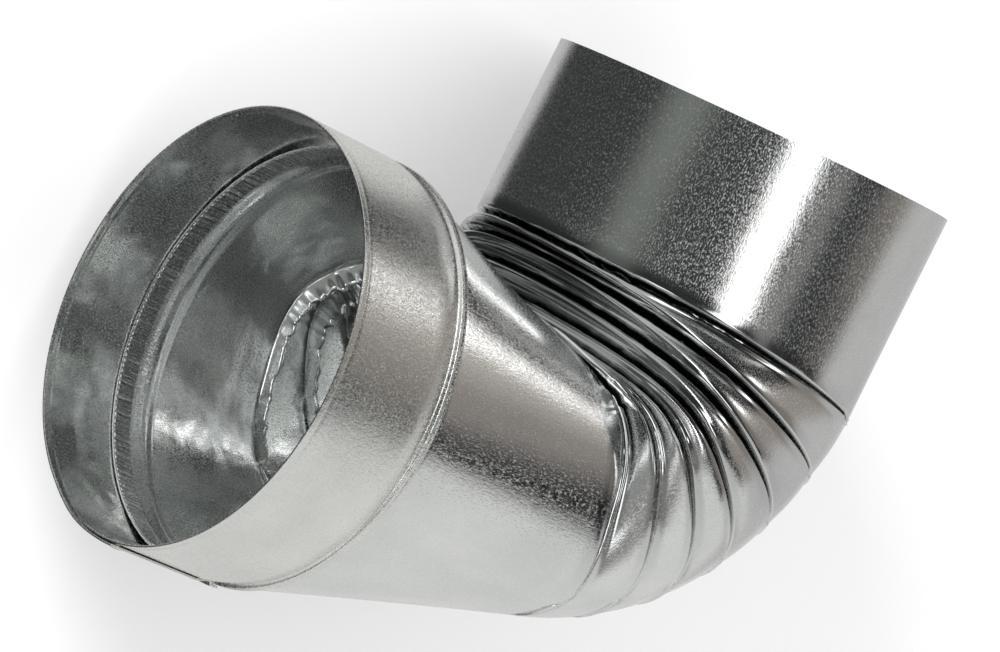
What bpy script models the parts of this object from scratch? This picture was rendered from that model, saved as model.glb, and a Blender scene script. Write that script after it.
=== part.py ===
"""Flue elbow, 90 degrees, for 120 mm pipe: a folded bend in one tube, with a socket collar on its inlet.

The object lies on its side. +X runs along the inlet, from the socket's mouth into the bend,
+Y runs out of the outlet, and the bend's plane is horizontal. Lengths are in metres. The shape
is worked out in a frame whose origin is the middle of the socket's mouth, and an empty then
puts the origin under the middle of the object's box.
"""

import math

import bmesh
import bpy
from mathutils import Matrix, Vector

# Sheet and bore
SHEET = 0.0006
PIPE_RADIUS = 0.060
CLEARANCE = 0.0003
TUBE_SEGMENTS = 40

# Socket collar
COLLAR_LENGTH = 0.038
COLLAR_RADIUS = PIPE_RADIUS + CLEARANCE + SHEET
COLLAR_STEPS = 50
GROOVE_X = 0.0345
GROOVE_HALF_WIDTH = 0.0025
GROOVE_DEPTH = 0.0012

# Lap joint of the collar's strip, at angles from +Y towards +Z
LAP_OUTER_END = math.radians(172)
LAP_ANGLE = math.radians(15)
LAP_LIFT = SHEET + CLEARANCE
LAP_RAMP = math.radians(28)

# Rivet through the lap
RIVET_X = 0.0055
RIVET_ANGLE = math.radians(177)
RIVET_SHANK_RADIUS = 0.0012
RIVET_HEAD_RADIUS = 0.0021
RIVET_HEAD_HEIGHT = 0.0005
RIVET_SEGMENTS = 16
HOLE_CUTTER_LENGTH = 0.008

# Tube end inside the collar
TUBE_START_X = 0.0245

# Bend: each triple holds the value at the first, the middle and the last fold
FOLDS = 7
CENTRE_X = (0.0892, 0.1213, 0.1443)
CENTRE_Y = (0.0013, 0.0242, 0.0565)
PLANE_ANGLE = (math.radians(-76.6), math.radians(-37.4), math.radians(-5.5))
PLANE_SKEW = (math.radians(14.7), math.radians(3.5), math.radians(4.0))
OUTER_DEPTH = (0.0424, 0.0572, 0.0602)
INNER_DEPTH = (0.0430, 0.0347, 0.0590)
HALF_WIDTH = (0.0618, 0.0716, 0.0600)
INNER_FLATNESS = 2.42
OUTER_FLATNESS = (3.20, 2.20, 2.0)
SKEW_FADE = math.radians(75)

# Folds, from the intrados round to where they end near the extrados, with their depth as a triple
FOLD_DEPTH = (0.0055, 0.0075, 0.0050)
FOLD_LEAST_DEPTH = 0.0004
FOLD_END = math.radians(55)
SLOT_HALF_WIDTH = 0.0010
SLOT_LEAST_HALF_WIDTH = 0.0005
BAND_BULGE = 0.0008

# Outlet
OUTLET_END_Y = 0.1172
OUTLET_MIDDLE_Y = 0.0850

STEEL = (0.62, 0.62, 0.60)


def between_folds(triple, fold):
    """The parabola through a triple's first, middle and last values, at a fold counted from 0."""
    first, middle, last = triple
    s = fold / (FOLDS - 1)
    return (
        first * (1 - s) * (1 - 2 * s) + middle * 4 * s * (1 - s) + last * s * (2 * s - 1)
    )


def smooth_step(value, low, high):
    """0 below low, 1 above high, and an S curve between."""
    t = min(max((value - low) / (high - low), 0.0), 1.0)
    return t * t * (3.0 - 2.0 * t)


def from_extrados(angle):
    """How far round the section an angle is from the extrados, either way."""
    return abs(math.remainder(angle, math.tau))


def fold_strength(angle):
    """1 at the intrados, falling to 0 where a fold ends."""
    return smooth_step(from_extrados(angle), FOLD_END, math.pi) ** 0.7


def ring_angles():
    return [math.tau * i / TUBE_SEGMENTS for i in range(TUBE_SEGMENTS)]


def circle_ring(centre, outward, radius):
    """A round section. outward points to the extrados, and the ring starts there."""
    side = Vector((0, 0, 1))
    return [
        centre + radius * (math.cos(a) * outward + math.sin(a) * side)
        for a in ring_angles()
    ]


def fold_ring(fold, shift, inset):
    """A section at a fold, moved along its own normal by shift(angle), drawn in by inset(angle)."""
    plane_angle = between_folds(PLANE_ANGLE, fold)
    skew = between_folds(PLANE_SKEW, fold)
    centre = Vector((between_folds(CENTRE_X, fold), between_folds(CENTRE_Y, fold), 0))
    outward = Vector((math.cos(plane_angle), math.sin(plane_angle), 0))
    along = Vector((-math.sin(plane_angle), math.cos(plane_angle), 0))
    width = between_folds(HALF_WIDTH, fold)
    outer = between_folds(OUTER_DEPTH, fold)
    inner = between_folds(INNER_DEPTH, fold)
    inner_power = 2.0 / INNER_FLATNESS
    outer_power = 2.0 / between_folds(OUTER_FLATNESS, fold)
    points = []
    for a in ring_angles():
        cosine = math.cos(a)
        sine = math.sin(a)
        draw_in = inset(a)
        lean = skew * (1.0 - smooth_step(from_extrados(a), SKEW_FADE, math.pi))
        side = math.cos(lean) * Vector((0, 0, 1)) + math.sin(lean) * along
        normal = side.cross(outward)
        power = outer_power if cosine >= 0 else inner_power
        reach = outer - draw_in if cosine >= 0 else draw_in - inner
        depth = reach * abs(cosine) ** power
        across = math.copysign((width - draw_in) * abs(sine) ** power, sine)
        points.append(centre + depth * outward + across * side + shift(a) * normal)
    return points


def lip_ring(fold, direction):
    """The edge of a fold's slot, on its inlet side (-1) or its outlet side (+1)."""

    def shift(a):
        wide = SLOT_HALF_WIDTH - SLOT_LEAST_HALF_WIDTH
        return direction * (SLOT_LEAST_HALF_WIDTH + wide * fold_strength(a))

    return fold_ring(fold, shift, lambda a: 0.0)


def valley_ring(fold):
    """The bottom of a fold's slot."""

    full_depth = between_folds(FOLD_DEPTH, fold)

    def inset(a):
        return FOLD_LEAST_DEPTH + (full_depth - FOLD_LEAST_DEPTH) * fold_strength(a)

    return fold_ring(fold, lambda a: 0.0, inset)


def blend_rings(first, second, share, bulge=0.0):
    """A ring between two others, pushed out from their common middle by bulge."""
    points = [a.lerp(b, share) for a, b in zip(first, second)]
    middle = sum(points, Vector()) / len(points)
    return [p + bulge * (p - middle).normalized() for p in points]


def tube_rings():
    """The tube's outer surface, ring by ring from the socket to the outlet."""
    inlet = Vector((0, -1, 0))
    stations = [
        (TUBE_START_X, PIPE_RADIUS),
        (GROOVE_X - GROOVE_HALF_WIDTH, PIPE_RADIUS),
        (GROOVE_X, PIPE_RADIUS - GROOVE_DEPTH),
        (GROOVE_X + GROOVE_HALF_WIDTH, PIPE_RADIUS),
        (COLLAR_LENGTH + 0.001, PIPE_RADIUS),
    ]
    rings = [circle_ring(Vector((x, 0, 0)), inlet, r) for x, r in stations]
    start = rings[-1]
    first_lip = lip_ring(0, -1)
    rings += [blend_rings(start, first_lip, share) for share in (0.35, 0.7)]
    for fold in range(FOLDS):
        rings.append(lip_ring(fold, -1))
        rings.append(valley_ring(fold))
        rings.append(lip_ring(fold, 1))
        if fold < FOLDS - 1:
            following = lip_ring(fold + 1, -1)
            rings.append(blend_rings(rings[-1], following, 0.5, BAND_BULGE))
    outlet_x = CENTRE_X[2]
    for y in (OUTLET_MIDDLE_Y, OUTLET_END_Y):
        rings.append(circle_ring(Vector((outlet_x, y, 0)), Vector((1, 0, 0)), PIPE_RADIUS))
    return rings


def loft(name, rings, closed):
    """An open surface through rings of equal length, each ring closed round on itself or not."""
    mesh = bpy.data.meshes.new(name)
    bm = bmesh.new()
    grid = [[bm.verts.new(p) for p in ring] for ring in rings]
    for near, far in zip(grid, grid[1:]):
        count = len(near)
        for i in range(count if closed else count - 1):
            j = (i + 1) % count
            bm.faces.new((near[i], far[i], far[j], near[j]))
    bm.to_mesh(mesh)
    bm.free()
    return mesh


def add_object(name, mesh, material):
    thing = bpy.data.objects.new(name, mesh)
    if material is not None:
        mesh.materials.append(material)
    return thing


def shade_round(mesh):
    mesh.shade_smooth()
    mesh.set_sharp_from_angle(angle=math.radians(35))


def add_thickness(thing, offset):
    solidify = thing.modifiers.new("Sheet", "SOLIDIFY")
    solidify.thickness = SHEET
    solidify.offset = offset
    solidify.use_even_offset = True


def make_tube(material):
    mesh = loft("elbow_tube", tube_rings(), closed=True)
    shade_round(mesh)
    tube = add_object("elbow_tube", mesh, material)
    add_thickness(tube, -1)
    return tube


def collar_profile():
    """The collar's outer outline as distances from the mouth and radii."""
    return [
        (0.0, COLLAR_RADIUS),
        (GROOVE_X - 1.6 * GROOVE_HALF_WIDTH, COLLAR_RADIUS),
        (GROOVE_X - GROOVE_HALF_WIDTH, COLLAR_RADIUS),
        (GROOVE_X, COLLAR_RADIUS - GROOVE_DEPTH),
        (GROOVE_X + GROOVE_HALF_WIDTH, COLLAR_RADIUS),
        (COLLAR_LENGTH, COLLAR_RADIUS),
    ]


def make_collar(material):
    """One strip wound round the tube's end. Its outer end laps over its inner end."""
    travel = math.tau + LAP_ANGLE
    ramp_end = math.tau - math.radians(2)
    rings = []
    for x, radius in collar_profile():
        ring = []
        for i in range(COLLAR_STEPS + 1):
            turned = travel * i / COLLAR_STEPS
            angle = LAP_OUTER_END + LAP_ANGLE - turned
            r = radius + LAP_LIFT * smooth_step(turned, ramp_end - LAP_RAMP, ramp_end)
            ring.append(Vector((x, r * math.cos(angle), r * math.sin(angle))))
        rings.append(ring)
    mesh = loft("socket_collar", rings, closed=False)
    shade_round(mesh)
    collar = add_object("socket_collar", mesh, material)
    add_thickness(collar, -1)
    return collar


def rivet_matrix():
    """A frame on the collar's axis, with its Z axis pointing outwards through the rivet."""
    outward = Vector((0, math.cos(RIVET_ANGLE), math.sin(RIVET_ANGLE)))
    axis = Vector((1, 0, 0))
    turn = Matrix((axis, outward.cross(axis), outward)).transposed().to_4x4()
    return Matrix.Translation(Vector((RIVET_X, 0, 0))) @ turn


def make_rivet(material):
    """A rivet turned about the line through both layers of the lap."""
    inside = COLLAR_RADIUS - SHEET - CLEARANCE
    outside = COLLAR_RADIUS + LAP_LIFT + CLEARANCE
    profile = [
        (0.0, outside + RIVET_HEAD_HEIGHT),
        (0.7 * RIVET_HEAD_RADIUS, outside + 0.8 * RIVET_HEAD_HEIGHT),
        (RIVET_HEAD_RADIUS, outside),
        (RIVET_SHANK_RADIUS, outside),
        (RIVET_SHANK_RADIUS, inside),
        (RIVET_HEAD_RADIUS, inside),
        (0.7 * RIVET_HEAD_RADIUS, inside - 0.8 * RIVET_HEAD_HEIGHT),
        (0.0, inside - RIVET_HEAD_HEIGHT),
    ]
    edges = [(i, i + 1) for i in range(len(profile) - 1)]
    mesh = bpy.data.meshes.new("lap_rivet")
    mesh.from_pydata([(r, 0, z) for r, z in profile], edges, [])
    rivet = add_object("lap_rivet", mesh, material)
    screw = rivet.modifiers.new("Turn", "SCREW")
    screw.steps = RIVET_SEGMENTS
    screw.render_steps = RIVET_SEGMENTS
    screw.use_merge_vertices = True
    screw.merge_threshold = 0.00001
    screw.use_smooth_shade = True
    rivet.matrix_world = rivet_matrix()
    return rivet


def make_hole_cutter():
    """A cylinder that clears the rivet's shank through both layers of the lap."""
    mesh = bpy.data.meshes.new("rivet_hole")
    bm = bmesh.new()
    radius = RIVET_SHANK_RADIUS + CLEARANCE
    bmesh.ops.create_cone(
        bm,
        cap_ends=True,
        segments=RIVET_SEGMENTS,
        radius1=radius,
        radius2=radius,
        depth=HOLE_CUTTER_LENGTH,
        matrix=Matrix.Translation((0, 0, COLLAR_RADIUS)),
    )
    bm.to_mesh(mesh)
    bm.free()
    cutter = add_object("rivet_hole", mesh, None)
    cutter.matrix_world = rivet_matrix()
    cutter.hide_render = True
    cutter.display_type = "WIRE"
    return cutter


def cut_hole(thing, cutter):
    hole = thing.modifiers.new("Hole", "BOOLEAN")
    hole.operation = "DIFFERENCE"
    hole.solver = "EXACT"
    hole.object = cutter


def steel_material(name, roughness):
    material = bpy.data.materials.new(name)
    material.use_nodes = True
    shader = material.node_tree.nodes["Principled BSDF"]
    shader.inputs["Base Color"].default_value = (*STEEL, 1.0)
    shader.inputs["Roughness"].default_value = roughness
    shader.inputs["Metallic"].default_value = 1.0
    return material


def clear_scene():
    for thing in list(bpy.data.objects):
        bpy.data.objects.remove(thing, do_unlink=True)


def new_collection(name):
    collection = bpy.data.collections.new(name)
    bpy.context.scene.collection.children.link(collection)
    return collection


def centre_on_box(frame, parts):
    """Moves the frame so that the world's origin is under the middle of the parts' box."""
    bpy.context.view_layer.update()
    depsgraph = bpy.context.evaluated_depsgraph_get()
    corners = []
    for part in parts:
        evaluated = part.evaluated_get(depsgraph)
        corners += [part.matrix_world @ v.co for v in evaluated.data.vertices]
    low = Vector([min(c[i] for c in corners) for i in range(3)])
    high = Vector([max(c[i] for c in corners) for i in range(3)])
    middle = (low + high) / 2
    frame.location = Vector((-middle.x, -middle.y, -low.z))
    bpy.context.view_layer.update()


def main():
    clear_scene()
    parts_collection = new_collection("flue_elbow")
    cutter_collection = new_collection("cutters")
    tube = make_tube(steel_material("tube_steel", 0.32))
    collar = make_collar(steel_material("collar_steel", 0.45))
    rivet = make_rivet(steel_material("rivet_steel", 0.4))
    cutter = make_hole_cutter()
    cut_hole(collar, cutter)
    parts = [tube, collar, rivet]
    frame = bpy.data.objects.new("elbow_frame", None)
    for part in (*parts, frame):
        parts_collection.objects.link(part)
    cutter_collection.objects.link(cutter)
    for thing in (*parts, cutter):
        thing.parent = frame
    centre_on_box(frame, parts)


main()
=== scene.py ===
"""Looks for the flue elbow: fine sheet metal meshes in place of the CAD nodes, steel, floor and light.

Lengths are in metres. Shapes are worked out in a bend frame whose origin is the middle of the
socket's mouth, with +X along the inlet into the bend and +Y out of the outlet, and are then
moved to where the CAD nodes say that the bend frame lies.
"""

import math

import bmesh
import bpy
import numpy as np
from mathutils import Matrix, Vector


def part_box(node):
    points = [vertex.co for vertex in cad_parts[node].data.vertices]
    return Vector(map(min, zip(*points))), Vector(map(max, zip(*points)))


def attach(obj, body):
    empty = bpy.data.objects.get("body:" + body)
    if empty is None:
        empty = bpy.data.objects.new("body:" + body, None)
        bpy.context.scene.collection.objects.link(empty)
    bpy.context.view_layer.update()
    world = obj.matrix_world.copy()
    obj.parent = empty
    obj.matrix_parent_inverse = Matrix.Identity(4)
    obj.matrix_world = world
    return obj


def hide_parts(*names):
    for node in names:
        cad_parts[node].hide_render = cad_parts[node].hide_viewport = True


# Sheet
SHEET = 0.0006
PIPE_RADIUS = 0.060
CLEARANCE = 0.0003

# Socket collar
COLLAR_LENGTH = 0.038
COLLAR_RADIUS = PIPE_RADIUS + CLEARANCE + SHEET
LAP_OUTER_END = math.radians(172)
LAP_ANGLE = math.radians(15)
LAP_LIFT = SHEET + CLEARANCE
LAP_RAMP = math.radians(20)
LAP_CURL = 0.0002
LAP_CURL_ANGLE = math.radians(9)
COLLAR_OVAL = 0.0011
COLLAR_COLUMNS = 420

# Rivet through the lap
RIVET_X = 0.0055
RIVET_ANGLE = math.radians(177)
RIVET_HEAD_RADIUS = 0.0021
RIVET_HEAD_HEIGHT = 0.0006
RIVET_STEM_RADIUS = 0.0012
RIVET_TIP_ANGLE = 0.06
RIVET_GAP = 0.00005
RIVET_EDGE = 0.0001

# Bead pressed into the tube, and the collar's groove rolled down over it
BEAD_X = 0.0350
BEAD_HALF_WIDTH = 0.0042
BEAD_DEPTH = 0.0012
GROOVE_START = 0.0302
GROOVE_BOTTOM = 0.0350
GROOVE_DEPTH = 0.0011

# Tube
TUBE_START_X = 0.0245
OUTLET_END_Y = 0.1172
TUBE_SEGMENTS = 384
AFTER_BEAD = 0.0006
RIM_TILT = 0.030
RIM_ROUNDING = 0.00006
ROUND_AGAIN = 0.3

# Bend: each triple holds the value at the first, the middle and the last fold
FOLDS = 7
CENTRE_X = (0.0898, 0.1213, 0.1443)
CENTRE_Y = (0.0013, 0.0242, 0.0565)
PLANE_ANGLE = (math.radians(-76.6), math.radians(-37.4), math.radians(-5.5))
PLANE_SKEW = (math.radians(16.2), math.radians(3.5), math.radians(2.0))
OUTER_DEPTH = (0.0424, 0.0572, 0.0602)
INNER_DEPTH = (0.0430, 0.0347, 0.0602)
HALF_WIDTH = (0.0618, 0.0716, 0.0600)
INNER_FLATNESS = (2.42, 2.42, 2.0)
OUTER_FLATNESS = (3.20, 2.20, 2.0)
SKEW_FADE = math.radians(115)

# Folds: an open trough at the intrados that narrows to a jog, and a fine crease beyond it.
# Angles are measured round the section from the extrados
FOLD_DEPTH = (0.0044, 0.0075, 0.0050)
FOLD_END = math.radians(55)
JOG_HALF_ANGLE = math.radians(3)
JOG_STEP = 0.0013
PINCH_HEIGHT = 0.0008
CREASE_DEPTH = 0.0008
CREASE_REACH = 0.0007
JOG_REACH = 0.0009
LIP_REACH = 0.0021
LIP_HEIGHT = 0.00045
BAND_BULGE = 0.0006
SIDE_STRENGTH = 0.42
FULL_DEPTH_ANGLE = math.radians(150)
FULL_REACH_ANGLE = math.radians(120)
REACH_TO_NEIGHBOUR = 0.40
EVEN_SPREAD = 0.30
RIDGE_WRINKLE = (0.34, 0.20, 0.08)
RIDGE_ANGLES = (math.radians(54), math.radians(72))
CRUMPLE_ANGLES = (math.radians(105), math.radians(150))
CRUMPLE_SHARE = 0.55
WRINKLES_ROUND = 37
CRUMPLES_ROUND = 31
WIDEST_ANGLE = math.radians(92)
WIDEST_SPAN = math.radians(14)
WIDEST_LIP_LOSS = 0.8

# Rings: how many of them each stretch of the tube has
FOLD_SAMPLES = 19
BAND_SAMPLES = 7
END_SAMPLES = 6
BEAD_SAMPLES = 14
GORE_SAMPLES = 22
OUTLET_SAMPLES = 12
FIRST_FOLD_RING = 1 + END_SAMPLES + BEAD_SAMPLES + 1 + GORE_SAMPLES

# Steel: noise scales are per metre of sheet, bump heights in metres
CLOUD_SCALE = 45.0
WAVE_SCALE = 55.0
FLAKE_ROUGHNESS = 0.40
WORKED_SMOOTHING = 0.85
# Painted shade: the colour that the steel in the folds and on the pinched intrados is darkened
# towards, and where that darkening reaches full strength
PAINTED_FOLD_SHADE = (0.40, 0.41, 0.41)
WORKED_AND_SHADED_FULL_ANGLE = math.radians(115)
PINCHED_ANGLES = (math.radians(110), math.radians(140))
KNURL_LENGTH = 0.0065
KNURL_PITCH = 0.0016
KNURL_HEIGHT = 0.0005

# Camera, in the bend frame
CAMERA_PLACE = (-0.77185, 0.05258, 1.01307)
CAMERA_RIGHT = (0.68422, 0.44728, 0.57600)
CAMERA_UP = (-0.33235, 0.89429, -0.29965)
CAMERA_LENS = 174.72
SENSOR = 36.0

# Floor
FLOOR_HALF = 3.0
FLOOR_GAP = 0.0002
FLOOR_WHITE = (0.93, 0.93, 0.93)
FLOOR_ROUGHNESS = 0.9

# Key light: a soft box that shades and lights, but isn't itself seen in the steel
KEY_AZIMUTH = -6
KEY_ELEVATION = 34
KEY_DISTANCE = 1.6
KEY_SIZE = 0.6
KEY_POWER = 20.0
KEY_TARGET_HEIGHT = 0.07

# Surroundings that the steel mirrors. An azimuth counts from the way that faces the camera, to the
# camera's right, and an elevation counts from there upwards. Both are in degrees
STUDIO_WHITE = (1.02, 1.02, 1.02)
MIRRORED_STRENGTH = 0.72
TABLE_TILT = 19.0
TABLE_EDGE = -0.45
TABLE_SOFTNESS = 0.03
TABLE_COLOUR = (0.92, 0.93, 0.92)
ROOM_COLOUR = (0.055, 0.058, 0.058)
CEILING_EDGE = 0.88
CEILING_SOFTNESS = 0.12
CEILING_COLOUR = (1.10, 1.12, 1.12)
# Each card: azimuth, elevation, half width, half height, softness of its edge, colour
CARDS = (
    (-84, 52, 44, 9, 5, (0.80, 0.82, 0.82)),
    (-62, -12, 32, 12, 6, (0.35, 0.36, 0.35)),
    (-128, -27, 26, 12, 6, (0.06, 0.06, 0.06)),
    (105, 6, 32, 22, 4, (0.40, 0.365, 0.335)),
    (92, 9, 9, 8, 6, (0.62, 0.575, 0.53)),
    (92, -14, 15, 12, 4, (0.36, 0.325, 0.30)),
    (111, 25, 13, 7, 4, (0.05, 0.05, 0.05)),
    (93, 19, 5, 5, 3, (4.0, 4.0, 4.0)),
    (168, 8, 28, 40, 6, (0.95, 0.95, 0.94)),
    (-163, 20, 17, 32, 5, (0.80, 0.80, 0.80)),
    (-18, -13, 9, 7, 5, (3.4, 3.5, 3.5)),
    (-42, -33, 10, 6, 4, (4.0, 4.1, 4.1)),
    (138, -19, 26, 13, 6, (0.66, 0.66, 0.66)),
    (0, -35, 52, 9, 5, (0.38, 0.37, 0.36)),
    (-35, 22, 12, 16, 8, (0.24, 0.26, 0.24)),
    (68, -23, 12, 6, 3, (0.05, 0.055, 0.06)),
    (84, -29, 15, 4, 2, (0.02, 0.02, 0.02)),
    (28, 14, 6.5, 38, 3, (5.0, 5.0, 5.0)),
)

SEED = 7


def between_folds(triple, fold):
    """The parabola through a triple's first, middle and last values, at a fold counted from 0."""
    first, middle, last = triple
    s = fold / (FOLDS - 1)
    return (
        first * (1 - s) * (1 - 2 * s) + middle * 4 * s * (1 - s) + last * s * (2 * s - 1)
    )


def smooth_step(value, low, high):
    """0 below low, 1 above high, and an S curve between. Works on arrays."""
    t = np.clip((value - low) / (high - low), 0.0, 1.0)
    return t * t * (3.0 - 2.0 * t)


def wave_noise(x, seed, octaves=5, base=1.0):
    """Smooth noise of one variable, about -1 to 1, that repeats every 2 pi for a whole base."""
    rng = np.random.default_rng(seed)
    total = np.zeros_like(x)
    weight = 0.0
    for octave in range(octaves):
        frequency = round(base * 1.7**octave)
        share = 0.75**octave
        total += share * np.sin(frequency * x + rng.uniform(0, math.tau))
        weight += share
    return total / weight


class Section:
    """The tube's section at one fold: where it is, how it faces and how wide it is."""

    def __init__(self, fold):
        plane_angle = between_folds(PLANE_ANGLE, fold)
        self.skew = between_folds(PLANE_SKEW, fold)
        self.centre = np.array(
            (between_folds(CENTRE_X, fold), between_folds(CENTRE_Y, fold), 0.0)
        )
        self.outward = np.array((math.cos(plane_angle), math.sin(plane_angle), 0.0))
        self.along = np.array((-math.sin(plane_angle), math.cos(plane_angle), 0.0))
        self.width = between_folds(HALF_WIDTH, fold)
        self.outer = between_folds(OUTER_DEPTH, fold)
        self.inner = between_folds(INNER_DEPTH, fold)
        self.outer_power = 2.0 / between_folds(OUTER_FLATNESS, fold)
        self.inner_power = 2.0 / between_folds(INNER_FLATNESS, fold)

    def points(self, angles, shift=0.0, inset=0.0):
        """Points round the section, moved along its normal by shift and drawn in by inset."""
        cosine = np.cos(angles)
        sine = np.sin(angles)
        facing_out = cosine >= 0
        power = np.where(facing_out, self.outer_power, self.inner_power)
        reach = np.where(facing_out, self.outer, -self.inner) - np.sign(cosine) * inset
        depth = reach * np.abs(cosine) ** power
        across = (self.width - inset) * np.sign(sine) * np.abs(sine) ** power
        lean = self.skew * (1.0 - smooth_step(from_extrados(angles), SKEW_FADE, math.pi))
        side = np.outer(np.cos(lean), (0, 0, 1)) + np.outer(np.sin(lean), self.along)
        normal = np.cross(side, self.outward)
        return (
            self.centre
            + depth[:, None] * self.outward
            + across[:, None] * side
            + np.asarray(shift + 0 * angles)[:, None] * normal
        )


def from_extrados(angles):
    """How far round the section an angle is from the extrados, either way."""
    return np.abs((angles + math.pi) % math.tau - math.pi)


def circle_points(centre, outward, radius, angles):
    """Points round a circle in the plane of outward and +Z, starting at outward."""
    outward = np.asarray(outward, float)
    return (
        np.asarray(centre, float)
        + np.outer(radius * np.cos(angles), outward)
        + np.outer(radius * np.sin(angles), (0, 0, 1))
    )


def push_out(points, amount):
    """Points moved away from their own middle."""
    middle = points.mean(axis=0)
    direction = points - middle
    direction /= np.linalg.norm(direction, axis=1)[:, None]
    return points + np.asarray(amount)[..., None] * direction


def fold_reach(fold, angles, sections):
    """Half the width of a fold's trough at each angle, held back where neighbours are close."""
    from_out = from_extrados(angles)
    opened = smooth_step(from_out, FOLD_END, FOLD_END + 2 * JOG_HALF_ANGLE)
    widened = smooth_step(from_out, FOLD_END, FULL_REACH_ANGLE)
    reach = CREASE_REACH + (JOG_REACH - CREASE_REACH) * opened
    reach = reach + (LIP_REACH - JOG_REACH) * widened
    here = sections[fold].points(angles)
    for other in (fold - 1, fold + 1):
        if 0 <= other < FOLDS:
            gap = np.abs((sections[other].points(angles) - here) @ sections[fold].along)
            reach = np.minimum(reach, REACH_TO_NEIGHBOUR * gap)
    return reach


def fold_rings(fold, angles, sections):
    """Rings across one fold, from its inlet side to its outlet side."""
    from_out = from_extrados(angles)
    opened = smooth_step(from_out, FOLD_END - JOG_HALF_ANGLE, FOLD_END + JOG_HALF_ANGLE)
    deepened = smooth_step(from_out, FOLD_END, FULL_DEPTH_ANGLE)
    strength = opened * (SIDE_STRENGTH + (1 - SIDE_STRENGTH) * deepened)
    full_depth = between_folds(FOLD_DEPTH, fold)
    ridge = smooth_step(from_out, *RIDGE_ANGLES)
    crumple = smooth_step(from_out, *CRUMPLE_ANGLES)
    uneven = wave_noise(angles, SEED + fold, base=WRINKLES_ROUND)
    wrinkle = 1 + between_folds(RIDGE_WRINKLE, fold) * ridge * uneven
    depth = CREASE_DEPTH + full_depth * strength * wrinkle
    reach = fold_reach(fold, angles, sections)
    sideways = wave_noise(angles, SEED + 20 + fold, base=CRUMPLES_ROUND)
    wander = CRUMPLE_SHARE * reach * crumple * sideways
    jog = -JOG_STEP * (1 - opened) * smooth_step(from_out, 0.0, FOLD_END)
    near_jog = np.exp(-(((from_out - FOLD_END + 1.5 * JOG_HALF_ANGLE) / JOG_HALF_ANGLE) ** 2))
    widest = np.exp(-(((from_out - WIDEST_ANGLE) / WIDEST_SPAN) ** 2))
    lower_sides = 1 - WIDEST_LIP_LOSS * widest
    rings = []
    for t in np.linspace(-1, 1, FOLD_SAMPLES):
        spread = EVEN_SPREAD * t + (1 - EVEN_SPREAD) * t**3
        hollow = 1.0 - smooth_step(abs(t), 0.0, 1.0)
        pinch = PINCH_HEIGHT * near_jog * math.exp(-(((t - 0.6) / 0.3) ** 2))
        lip = LIP_HEIGHT * opened * lower_sides * math.exp(-(((abs(t) - 0.78) / 0.15) ** 2))
        rings.append(
            sections[fold].points(
                angles,
                shift=reach * spread + wander * hollow + jog * (1 - t * t),
                inset=depth * hollow - pinch - lip,
            )
        )
    return rings


def tube_rings(angles):
    """The tube's outer surface, ring by ring from the socket to the outlet."""
    sections = [Section(fold) for fold in range(FOLDS)]
    inlet = (0.0, -1.0, 0.0)
    rings = []
    rings.append(circle_points((TUBE_START_X, 0, 0), inlet, PIPE_RADIUS, angles))
    for x in np.linspace(TUBE_START_X + RIM_ROUNDING, BEAD_X - BEAD_HALF_WIDTH, END_SAMPLES):
        rings.append(circle_points((x, 0, 0), inlet, PIPE_RADIUS, angles))
    for t in np.linspace(-1, 1, BEAD_SAMPLES + 1)[1:]:
        radius = PIPE_RADIUS - BEAD_DEPTH * (0.5 + 0.5 * math.cos(math.pi * t))
        x = BEAD_X + BEAD_HALF_WIDTH * t
        rings.append(circle_points((x, 0, 0), inlet, radius, angles))
    gore_start = BEAD_X + BEAD_HALF_WIDTH + AFTER_BEAD
    previous = circle_points((gore_start, 0, 0), inlet, PIPE_RADIUS, angles)
    rings.append(previous)
    for fold in range(FOLDS):
        across = fold_rings(fold, angles, sections)
        count = GORE_SAMPLES if fold == 0 else BAND_SAMPLES
        for share in np.linspace(0, 1, count + 2)[1:-1]:
            flat = (1 - share) * previous + share * across[0]
            bulge = 0.0 if fold == 0 else BAND_BULGE * 4 * share * (1 - share)
            rings.append(push_out(flat, bulge + 0 * angles))
        rings += across
        previous = across[-1]
    rim = OUTLET_END_Y - RIM_TILT * (CENTRE_X[2] + PIPE_RADIUS - previous[:, 0])
    shares = np.linspace(0, 1, OUTLET_SAMPLES + 2)[1:-1]
    for share in (0.02, *shares, 0.999, 1.0):
        ring = previous.copy()
        ring[:, 1] = previous[:, 1] + share * (rim - previous[:, 1])
        away = ring - np.array((CENTRE_X[2], 0, 0))
        away[:, 1] = 0
        circle = away * (PIPE_RADIUS / np.linalg.norm(away, axis=1))[:, None]
        settle = smooth_step(share, 0.0, ROUND_AGAIN)
        rings.append(ring + settle * (circle - away))
    return rings


def grid_mesh(name, rings, closed):
    """A surface through rings of equal length, with a UV map in metres of sheet."""
    grid = np.array(rings)
    rows, columns, _ = grid.shape
    mesh = bpy.data.meshes.new(name)
    index = np.arange(rows * columns).reshape(rows, columns)
    right = np.roll(index, -1, axis=1)
    last = columns if closed else columns - 1
    quads = np.stack(
        (index[:-1, :last], index[1:, :last], right[1:, :last], right[:-1, :last]), axis=-1
    ).reshape(-1, 4)
    mesh.from_pydata(grid.reshape(-1, 3).tolist(), [], quads.tolist())
    step = np.linalg.norm(np.diff(grid, axis=0), axis=2).mean(axis=1)
    along = np.concatenate(((0.0,), np.cumsum(step)))
    around = np.linspace(0.0, math.tau * PIPE_RADIUS, columns + 1)
    row = quads // columns
    column = quads % columns
    wrapped = np.where((column == 0) & (column[:, :1] == columns - 1), columns, column)
    uv = np.stack((along[row], around[wrapped]), axis=-1)
    layer = mesh.uv_layers.new(name="sheet")
    layer.data.foreach_set("uv", uv.reshape(-1))
    mesh.shade_smooth()
    return mesh


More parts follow.
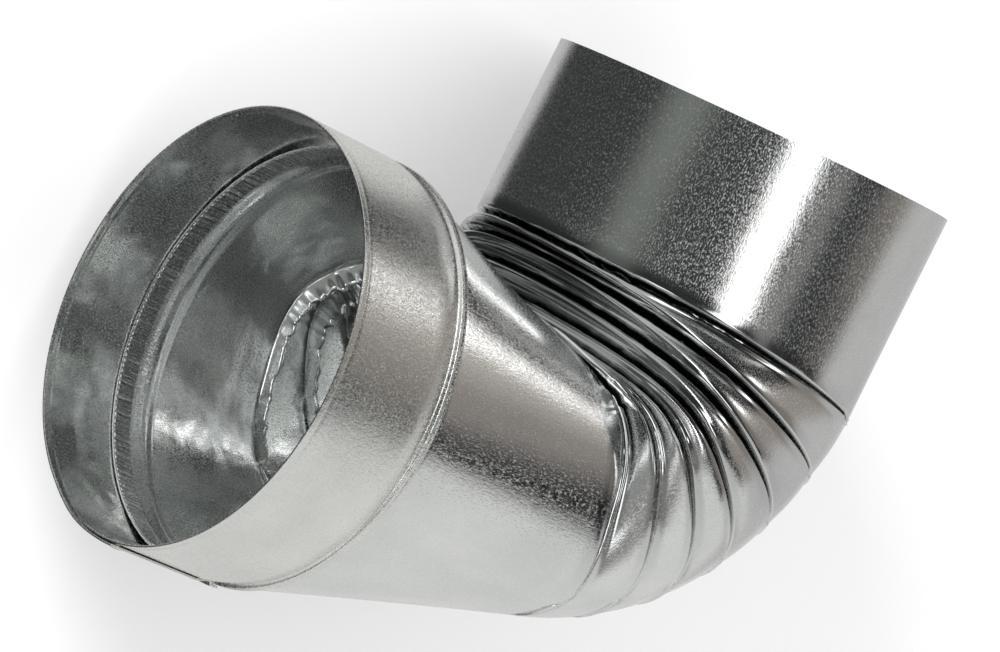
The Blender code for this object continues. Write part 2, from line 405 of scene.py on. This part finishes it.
def mark_folds(mesh, rings):
    """Stores how much each point was worked in folding. This fades the coating's specks there and sets
    where painted shade darkens the folds.
    """
    layer = mesh.attributes.new("worked_and_fold_shade", "FLOAT", "POINT")
    values = np.zeros((len(rings), TUBE_SEGMENTS))
    angles = from_extrados(np.linspace(0, math.tau, TUBE_SEGMENTS, endpoint=False))
    first = FIRST_FOLD_RING
    step = FOLD_SAMPLES + BAND_SAMPLES
    last = first + FOLDS * step - BAND_SAMPLES
    worked_and_fold_shade = smooth_step(angles, FOLD_END, WORKED_AND_SHADED_FULL_ANGLE)
    for fold in range(FOLDS):
        values[first + fold * step - 1 : first + fold * step + FOLD_SAMPLES + 1] = worked_and_fold_shade
    # The pinched intrados through the whole bend also gets painted shade
    pinched = smooth_step(angles, *PINCHED_ANGLES)
    values[first:last] = np.maximum(values[first:last], pinched)
    layer.data.foreach_set("value", values.reshape(-1))


def add_thickness(thing):
    """Gives a surface the sheet's thickness inwards, with its second material on the inside."""
    solidify = thing.modifiers.new("Sheet", "SOLIDIFY")
    solidify.thickness = SHEET
    solidify.offset = -1
    solidify.material_offset = 1
    solidify.use_even_offset = False
    solidify.use_quality_normals = True


def place(thing, origin, materials, node):
    """Links a piece, moves it from the bend frame to the row frame, hangs it on the root body and
    hides the CAD node that it stands in for.
    """
    bpy.context.scene.collection.objects.link(thing)
    thing.location = origin
    for material in materials:
        thing.data.materials.append(material)
    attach(thing, "root")
    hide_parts(node)


def make_tube():
    """The folded tube, from the end inside the collar to the outlet's rim."""
    angles = np.linspace(0, math.tau, TUBE_SEGMENTS, endpoint=False)
    rings = tube_rings(angles)
    mesh = grid_mesh("elbow_sheet", rings, closed=True)
    mark_folds(mesh, rings)
    tube = bpy.data.objects.new("elbow_sheet", mesh)
    add_thickness(tube)
    return tube


def collar_outline():
    """The collar's outer outline as distances from the mouth and radii.

    The hem at the mouth and the tail past the groove are offsets in millimetres.
    """
    hem = ((0.015, 0.0), (0.06, 0.0), (0.5, 0.0), (1.6, 0.0), (2.0, -0.16), (2.4, 0.0), (3.2, 0.0))
    outline = [(x / 1000, COLLAR_RADIUS + r / 1000) for x, r in hem]
    outline += [(x, COLLAR_RADIUS) for x in np.linspace(0.006, GROOVE_START, 9)]
    for t in np.linspace(0, 1, 9)[1:]:
        x = GROOVE_START + t * (GROOVE_BOTTOM - GROOVE_START)
        outline.append((x, COLLAR_RADIUS - GROOVE_DEPTH * float(smooth_step(t, -0.15, 1.15))))
    tail = ((0.35, -1.06), (0.75, -0.35), (1.05, 0.0), (1.45, 0.05), (1.85, -0.22), (2.2, -0.22))
    tail += ((2.55, 0.02), (2.85, 0.02), (2.94, -0.03), (3.0, -0.03))
    outline += [(GROOVE_BOTTOM + x / 1000, COLLAR_RADIUS + r / 1000) for x, r in tail]
    return outline


def make_collar():
    """One strip wound round the tube's end. Its outer end laps over its inner end."""
    travel = math.tau + LAP_ANGLE
    ramp_end = math.tau - math.radians(1)
    turned = np.linspace(0, travel, COLLAR_COLUMNS)
    angle = LAP_OUTER_END + LAP_ANGLE - turned
    lift = LAP_LIFT * smooth_step(turned, ramp_end - LAP_RAMP, ramp_end)
    curl = smooth_step(turned, travel - LAP_CURL_ANGLE, travel)
    oval = COLLAR_OVAL * np.maximum(np.cos(angle), 0) ** 2
    rings = []
    for x, radius in collar_outline():
        from_back = (COLLAR_LENGTH - x) / COLLAR_LENGTH
        r = radius + lift + oval + LAP_CURL * curl * from_back
        rings.append(np.stack((x + 0 * r, r * np.cos(angle), r * np.sin(angle)), axis=1))
    mesh = grid_mesh("collar_sheet", rings, closed=False)
    collar = bpy.data.objects.new("collar_sheet", mesh)
    add_thickness(collar)
    return collar


def close_ends(mesh):
    """Caps a mesh's open ends."""
    bm = bmesh.new()
    bm.from_mesh(mesh)
    bmesh.ops.holes_fill(bm, edges=bm.edges, sides=0)
    bm.to_mesh(mesh)
    bm.free()


def make_rivet():
    """A low domed rivet head inside and outside the lap."""
    inside = COLLAR_RADIUS - SHEET - RIVET_GAP
    outside = COLLAR_RADIUS + LAP_LIFT + RIVET_GAP
    dome = [
        (RIVET_HEAD_RADIUS * math.sin(t), RIVET_HEAD_HEIGHT * math.cos(t))
        for t in np.linspace(RIVET_TIP_ANGLE, 0.5 * math.pi, 7)
    ]
    turns = np.linspace(0, math.tau, 32, endpoint=False)
    profile = [(radius, outside + height) for radius, height in dome]
    profile += [(RIVET_STEM_RADIUS, outside - RIVET_EDGE), (RIVET_STEM_RADIUS, inside + RIVET_EDGE)]
    profile += [(radius, inside - height) for radius, height in reversed(dome)]
    rings = [
        np.stack((r * np.cos(turns), r * np.sin(turns), z + 0 * turns), axis=1)
        for r, z in profile
    ]
    mesh = grid_mesh("rivet_heads", rings, closed=True)
    close_ends(mesh)
    rivet = bpy.data.objects.new("rivet_heads", mesh)
    outward = Vector((0, math.cos(RIVET_ANGLE), math.sin(RIVET_ANGLE)))
    axis = Vector((1, 0, 0))
    turn = Matrix((axis, outward.cross(axis), outward)).transposed().to_4x4()
    mesh.transform(Matrix.Translation(Vector((RIVET_X, 0, 0))) @ turn)
    return rivet


class Nodes:
    """Short calls for building a material's node tree."""

    def __init__(self, tree):
        self.tree = tree

    def add(self, kind, **settings):
        node = self.tree.nodes.new(kind)
        for name, value in settings.items():
            setattr(node, name, value)
        return node

    def link(self, source, target):
        self.tree.links.new(source, target)

    def math(self, operation, a, b=None):
        node = self.add("ShaderNodeMath", operation=operation)
        for socket, value in zip(node.inputs, (a, b)):
            if value is None:
                continue
            if isinstance(value, (int, float)):
                socket.default_value = value
            else:
                self.link(value, socket)
        return node.outputs[0]

    def noise(self, vector, scale, detail=3.0, roughness=0.6):
        node = self.add("ShaderNodeTexNoise")
        node.inputs["Scale"].default_value = scale
        node.inputs["Detail"].default_value = detail
        node.inputs["Roughness"].default_value = roughness
        self.link(vector, node.inputs["Vector"])
        return node.outputs["Fac"]

    def map_range(self, value, low, high, to_low, to_high):
        node = self.add("ShaderNodeMapRange")
        self.link(value, node.inputs["Value"])
        for name, number in zip(
            ("From Min", "From Max", "To Min", "To Max"), (low, high, to_low, to_high)
        ):
            node.inputs[name].default_value = number
        return node.outputs["Result"]

    def smooth_range(self, value, low, high, to_low, to_high):
        result = self.map_range(value, low, high, to_low, to_high)
        result.node.interpolation_type = "SMOOTHSTEP"
        return result

    def dot(self, vector, fixed):
        node = self.add("ShaderNodeVectorMath", operation="DOT_PRODUCT")
        self.link(vector, node.inputs[0])
        node.inputs[1].default_value = fixed
        return node.outputs["Value"]

    def mix_colour(self, share, first, second):
        """second over first by share. Each is a colour or a socket."""
        node = self.add("ShaderNodeMix", data_type="RGBA")
        self.link(share, node.inputs["Factor"])
        for socket, value in ((node.inputs[6], first), (node.inputs[7], second)):
            if isinstance(value, tuple):
                socket.default_value = (*value, 1.0)
            else:
                self.link(value, socket)
        return node.outputs[2]


def stretched(nodes, source, scale):
    """Coordinates scaled on each axis, so that a noise comes out longer or shorter there."""
    mapping = nodes.add("ShaderNodeMapping")
    mapping.inputs["Scale"].default_value = scale
    nodes.link(source, mapping.inputs["Vector"])
    return mapping.outputs["Vector"]


def add_bump(nodes, height, distance, below=None):
    """A bump of a given height in metres, over the one below it if there is one."""
    bump = nodes.add("ShaderNodeBump")
    bump.inputs["Strength"].default_value = 1.0
    bump.inputs["Distance"].default_value = distance
    nodes.link(height, bump.inputs["Height"])
    if below is not None:
        nodes.link(below, bump.inputs["Normal"])
    return bump.outputs["Normal"]


def galvanised(
    name, dark, light, roughness, speck, grain, stretch, waviness, fold_shade_share=0.0, knurled=False
):
    """Zinc coated steel: cloudy base, fine specks in the coating and a little waviness.

    Where the sheet was worked, the specks fade, and painted shade darkens the folds and the pinched
    intrados there by the given share.
    """
    material = bpy.data.materials.new(name)
    material.use_nodes = True
    nodes = Nodes(material.node_tree)
    shader = material.node_tree.nodes["Principled BSDF"]
    shader.inputs["Metallic"].default_value = 1.0
    uv = nodes.add("ShaderNodeUVMap", uv_map="sheet").outputs["UV"]
    cloud = nodes.noise(uv, CLOUD_SCALE, 4.0, 0.55)
    streaks = stretched(nodes, uv, (stretch, 1, 1))
    fine = nodes.noise(streaks, speck, 2.0, 0.7)
    coarse = nodes.noise(streaks, 0.4 * speck, 3.0, 0.6)
    worked_and_fold_shade = nodes.add("ShaderNodeAttribute", attribute_name="worked_and_fold_shade").outputs["Fac"]
    plain = nodes.math("SUBTRACT", 1.0, nodes.math("MULTIPLY", worked_and_fold_shade, WORKED_SMOOTHING))
    flake = nodes.math("MULTIPLY", nodes.smooth_range(fine, 0.48, 0.70, 0.0, 1.0), plain)
    clouded = nodes.map_range(cloud, 0.3, 0.7, 0.0, 0.7)
    tone = nodes.math("ADD", clouded, nodes.math("MULTIPLY", flake, 0.5))
    colour = nodes.mix_colour(tone, dark, light)
    # Painted shade: folds and the pinched intrados are darkened towards a flat dark zinc colour
    colour = nodes.mix_colour(nodes.math("MULTIPLY", worked_and_fold_shade, fold_shade_share), colour, PAINTED_FOLD_SHADE)
    nodes.link(colour, shader.inputs["Base Color"])
    patch = nodes.math("MULTIPLY", nodes.map_range(coarse, 0.35, 0.65, -0.05, 0.08), plain)
    rough = nodes.math("ADD", patch, nodes.math("MULTIPLY", flake, FLAKE_ROUGHNESS))
    nodes.link(nodes.math("ADD", rough, roughness), shader.inputs["Roughness"])
    height = nodes.math("MULTIPLY", nodes.math("ADD", fine, coarse), plain)
    normal = add_bump(nodes, height, grain)
    normal = add_bump(nodes, nodes.noise(uv, WAVE_SCALE, 2.0, 0.45), waviness, normal)
    if knurled:
        normal = add_bump(nodes, knurl_height(nodes, uv), KNURL_HEIGHT, normal)
    nodes.link(normal, shader.inputs["Normal"])
    return material


def knurl_height(nodes, uv):
    """Short ticks side by side round the end of the tube, each a little different."""
    split = nodes.add("ShaderNodeSeparateXYZ")
    nodes.link(uv, split.inputs["Vector"])
    along = split.outputs["X"]
    around = split.outputs["Y"]
    wobble = nodes.noise(stretched(nodes, uv, (0.2, 1, 1)), 260.0, 1.0, 0.5)
    phase = nodes.math("MULTIPLY", around, math.pi / KNURL_PITCH)
    phase = nodes.math("ADD", phase, nodes.math("MULTIPLY", wobble, 6.0))
    tick = nodes.math("POWER", nodes.math("ABSOLUTE", nodes.math("SINE", phase)), 3.0)
    band = nodes.smooth_range(along, KNURL_LENGTH - 0.0006, KNURL_LENGTH, 1.0, 0.0)
    starting = nodes.smooth_range(along, 0.0003, 0.0009, 0.0, 1.0)
    return nodes.math("MULTIPLY", tick, nodes.math("MULTIPLY", band, starting))


def add_camera(origin):
    """The camera at the photograph's viewing angle."""
    data = bpy.data.cameras.new("photo_view")
    data.lens = CAMERA_LENS
    data.sensor_width = SENSOR
    data.sensor_fit = "HORIZONTAL"
    data.clip_end = 20.0
    camera = bpy.data.objects.new("photo_view", data)
    right = Vector(CAMERA_RIGHT).normalized()
    up = Vector(CAMERA_UP)
    back = right.cross(up).normalized()
    up = back.cross(right)
    turn = Matrix((right, up, back)).transposed().to_4x4()
    camera.matrix_world = Matrix.Translation(Vector(CAMERA_PLACE) + origin) @ turn
    bpy.context.scene.collection.objects.link(camera)
    bpy.context.scene.camera = camera


def add_floor():
    """A plain pale floor just under the elbow, which the steel doesn't mirror."""
    mesh = bpy.data.meshes.new("floor")
    corners = ((-1, -1), (1, -1), (1, 1), (-1, 1))
    mesh.from_pydata([(FLOOR_HALF * x, FLOOR_HALF * y, 0) for x, y in corners], [], [(0, 1, 2, 3)])
    floor = bpy.data.objects.new("floor", mesh)
    floor.location.z = -FLOOR_GAP
    floor.visible_glossy = False
    bpy.context.scene.collection.objects.link(floor)
    material = bpy.data.materials.new("floor_white")
    material.use_nodes = True
    shader = material.node_tree.nodes["Principled BSDF"]
    shader.inputs["Base Color"].default_value = (*FLOOR_WHITE, 1.0)
    shader.inputs["Roughness"].default_value = FLOOR_ROUGHNESS
    mesh.materials.append(material)


def direction_at(azimuth, elevation):
    """The direction at an azimuth and elevation, counted from the way that faces the camera."""
    right = Vector(CAMERA_RIGHT).normalized()
    back = right.cross(Vector(CAMERA_UP)).normalized()
    up = back.cross(right)
    level = math.sin(math.radians(azimuth)) * right + math.cos(math.radians(azimuth)) * back
    height = math.radians(elevation)
    return math.cos(height) * level + math.sin(height) * up


def add_key_light():
    """The soft box, turned to the middle of the elbow."""
    data = bpy.data.lights.new("key", "AREA")
    data.shape = "RECTANGLE"
    data.size = KEY_SIZE
    data.size_y = KEY_SIZE
    data.energy = KEY_POWER
    light = bpy.data.objects.new("key", data)
    target = Vector((0, 0, KEY_TARGET_HEIGHT))
    light.location = target + KEY_DISTANCE * direction_at(KEY_AZIMUTH, KEY_ELEVATION)
    light.rotation_euler = (light.location - target).to_track_quat("Z", "Y").to_euler()
    light.visible_glossy = False
    bpy.context.scene.collection.objects.link(light)


def card_mask(nodes, direction, card):
    """1 where a direction falls on a card of the surroundings, with soft edges."""
    azimuth, elevation, half_width, half_height, softness, _ = card
    facing = direction_at(azimuth, elevation)
    side = Vector(direction_at(azimuth + 90, 0)).normalized()
    rise = facing.cross(side).normalized()
    ahead = nodes.dot(direction, facing)
    mask = nodes.math("GREATER_THAN", ahead, 0.01)
    for axis, half in ((side, half_width), (rise, half_height)):
        offset = nodes.math("ABSOLUTE", nodes.math("DIVIDE", nodes.dot(direction, axis), ahead))
        edge = math.tan(math.radians(half))
        soft = math.tan(math.radians(softness))
        inside = nodes.smooth_range(offset, edge - soft, edge + soft, 1.0, 0.0)
        mask = nodes.math("MULTIPLY", mask, inside)
    return mask


def add_world():
    """A plain white studio. In its place, mirror rays see a dark room with a table and cards."""
    world = bpy.data.worlds.new("studio")
    bpy.context.scene.world = world
    world.use_nodes = True
    nodes = Nodes(world.node_tree)
    background = world.node_tree.nodes["Background"]
    direction = nodes.add("ShaderNodeTexCoord").outputs["Generated"]
    tilt = math.radians(TABLE_TILT)
    table_up = math.cos(tilt) * direction_at(0, 90) + math.sin(tilt) * direction_at(0, 0)
    height = nodes.dot(direction, table_up)
    colour = TABLE_COLOUR
    for edge, softness, above in (
        (TABLE_EDGE, TABLE_SOFTNESS, ROOM_COLOUR),
        (CEILING_EDGE, CEILING_SOFTNESS, CEILING_COLOUR),
    ):
        share = nodes.smooth_range(height, edge - softness, edge + softness, 0.0, 1.0)
        colour = nodes.mix_colour(share, colour, above)
    for card in CARDS:
        colour = nodes.mix_colour(card_mask(nodes, direction, card), colour, card[-1])
    is_glossy = nodes.add("ShaderNodeLightPath").outputs["Is Glossy Ray"]
    colour = nodes.mix_colour(is_glossy, STUDIO_WHITE, colour)
    nodes.link(colour, background.inputs["Color"])
    strength = nodes.map_range(is_glossy, 0.0, 1.0, 1.0, MIRRORED_STRENGTH)
    nodes.link(strength, background.inputs["Strength"])


def bend_origin():
    """Where the middle of the socket's mouth lies, from the CAD nodes' boxes."""
    collar_low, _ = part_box("socket_collar")
    tube_low, tube_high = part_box("elbow_tube")
    return Vector(
        (collar_low[0], tube_high[1] - OUTLET_END_Y, 0.5 * (tube_low[2] + tube_high[2]))
    )


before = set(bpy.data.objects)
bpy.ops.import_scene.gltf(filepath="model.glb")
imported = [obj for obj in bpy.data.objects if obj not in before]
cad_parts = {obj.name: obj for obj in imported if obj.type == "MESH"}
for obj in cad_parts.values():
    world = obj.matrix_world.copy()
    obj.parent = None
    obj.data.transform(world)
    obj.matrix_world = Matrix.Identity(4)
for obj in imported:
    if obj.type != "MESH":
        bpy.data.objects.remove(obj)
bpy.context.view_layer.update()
origin = bend_origin()

tube_outside = galvanised(
    "tube_steel",
    dark=(0.78, 0.79, 0.78),
    light=(0.94, 0.94, 0.93),
    roughness=0.10,
    speck=2600.0,
    grain=0.00003,
    stretch=0.42,
    waviness=0.00010,
    # Painted shade in the folds, this share of the way to the dark colour
    fold_shade_share=0.8,
)
tube_inside = galvanised(
    "tube_inside",
    dark=(0.76, 0.78, 0.77),
    light=(0.93, 0.94, 0.93),
    roughness=0.12,
    speck=2600.0,
    grain=0.00002,
    stretch=0.42,
    waviness=0.00070,
    knurled=True,
)
collar_outside = galvanised(
    "collar_steel",
    dark=(0.78, 0.78, 0.755),
    light=(0.95, 0.95, 0.92),
    roughness=0.22,
    speck=2300.0,
    grain=0.00006,
    stretch=0.7,
    waviness=0.00018,
)
collar_inside = galvanised(
    "collar_inside",
    dark=(0.80, 0.82, 0.81),
    light=(0.94, 0.95, 0.94),
    roughness=0.12,
    speck=2300.0,
    grain=0.00002,
    stretch=0.6,
    waviness=0.0012,
)

place(make_tube(), origin, (tube_outside, tube_inside), "elbow_tube")
place(make_collar(), origin, (collar_outside, collar_inside), "socket_collar")
place(make_rivet(), origin, (collar_outside,), "lap_rivet")

add_camera(origin)
add_floor()
add_world()
add_key_light()
bpy.context.scene.view_settings.view_transform = "Standard"
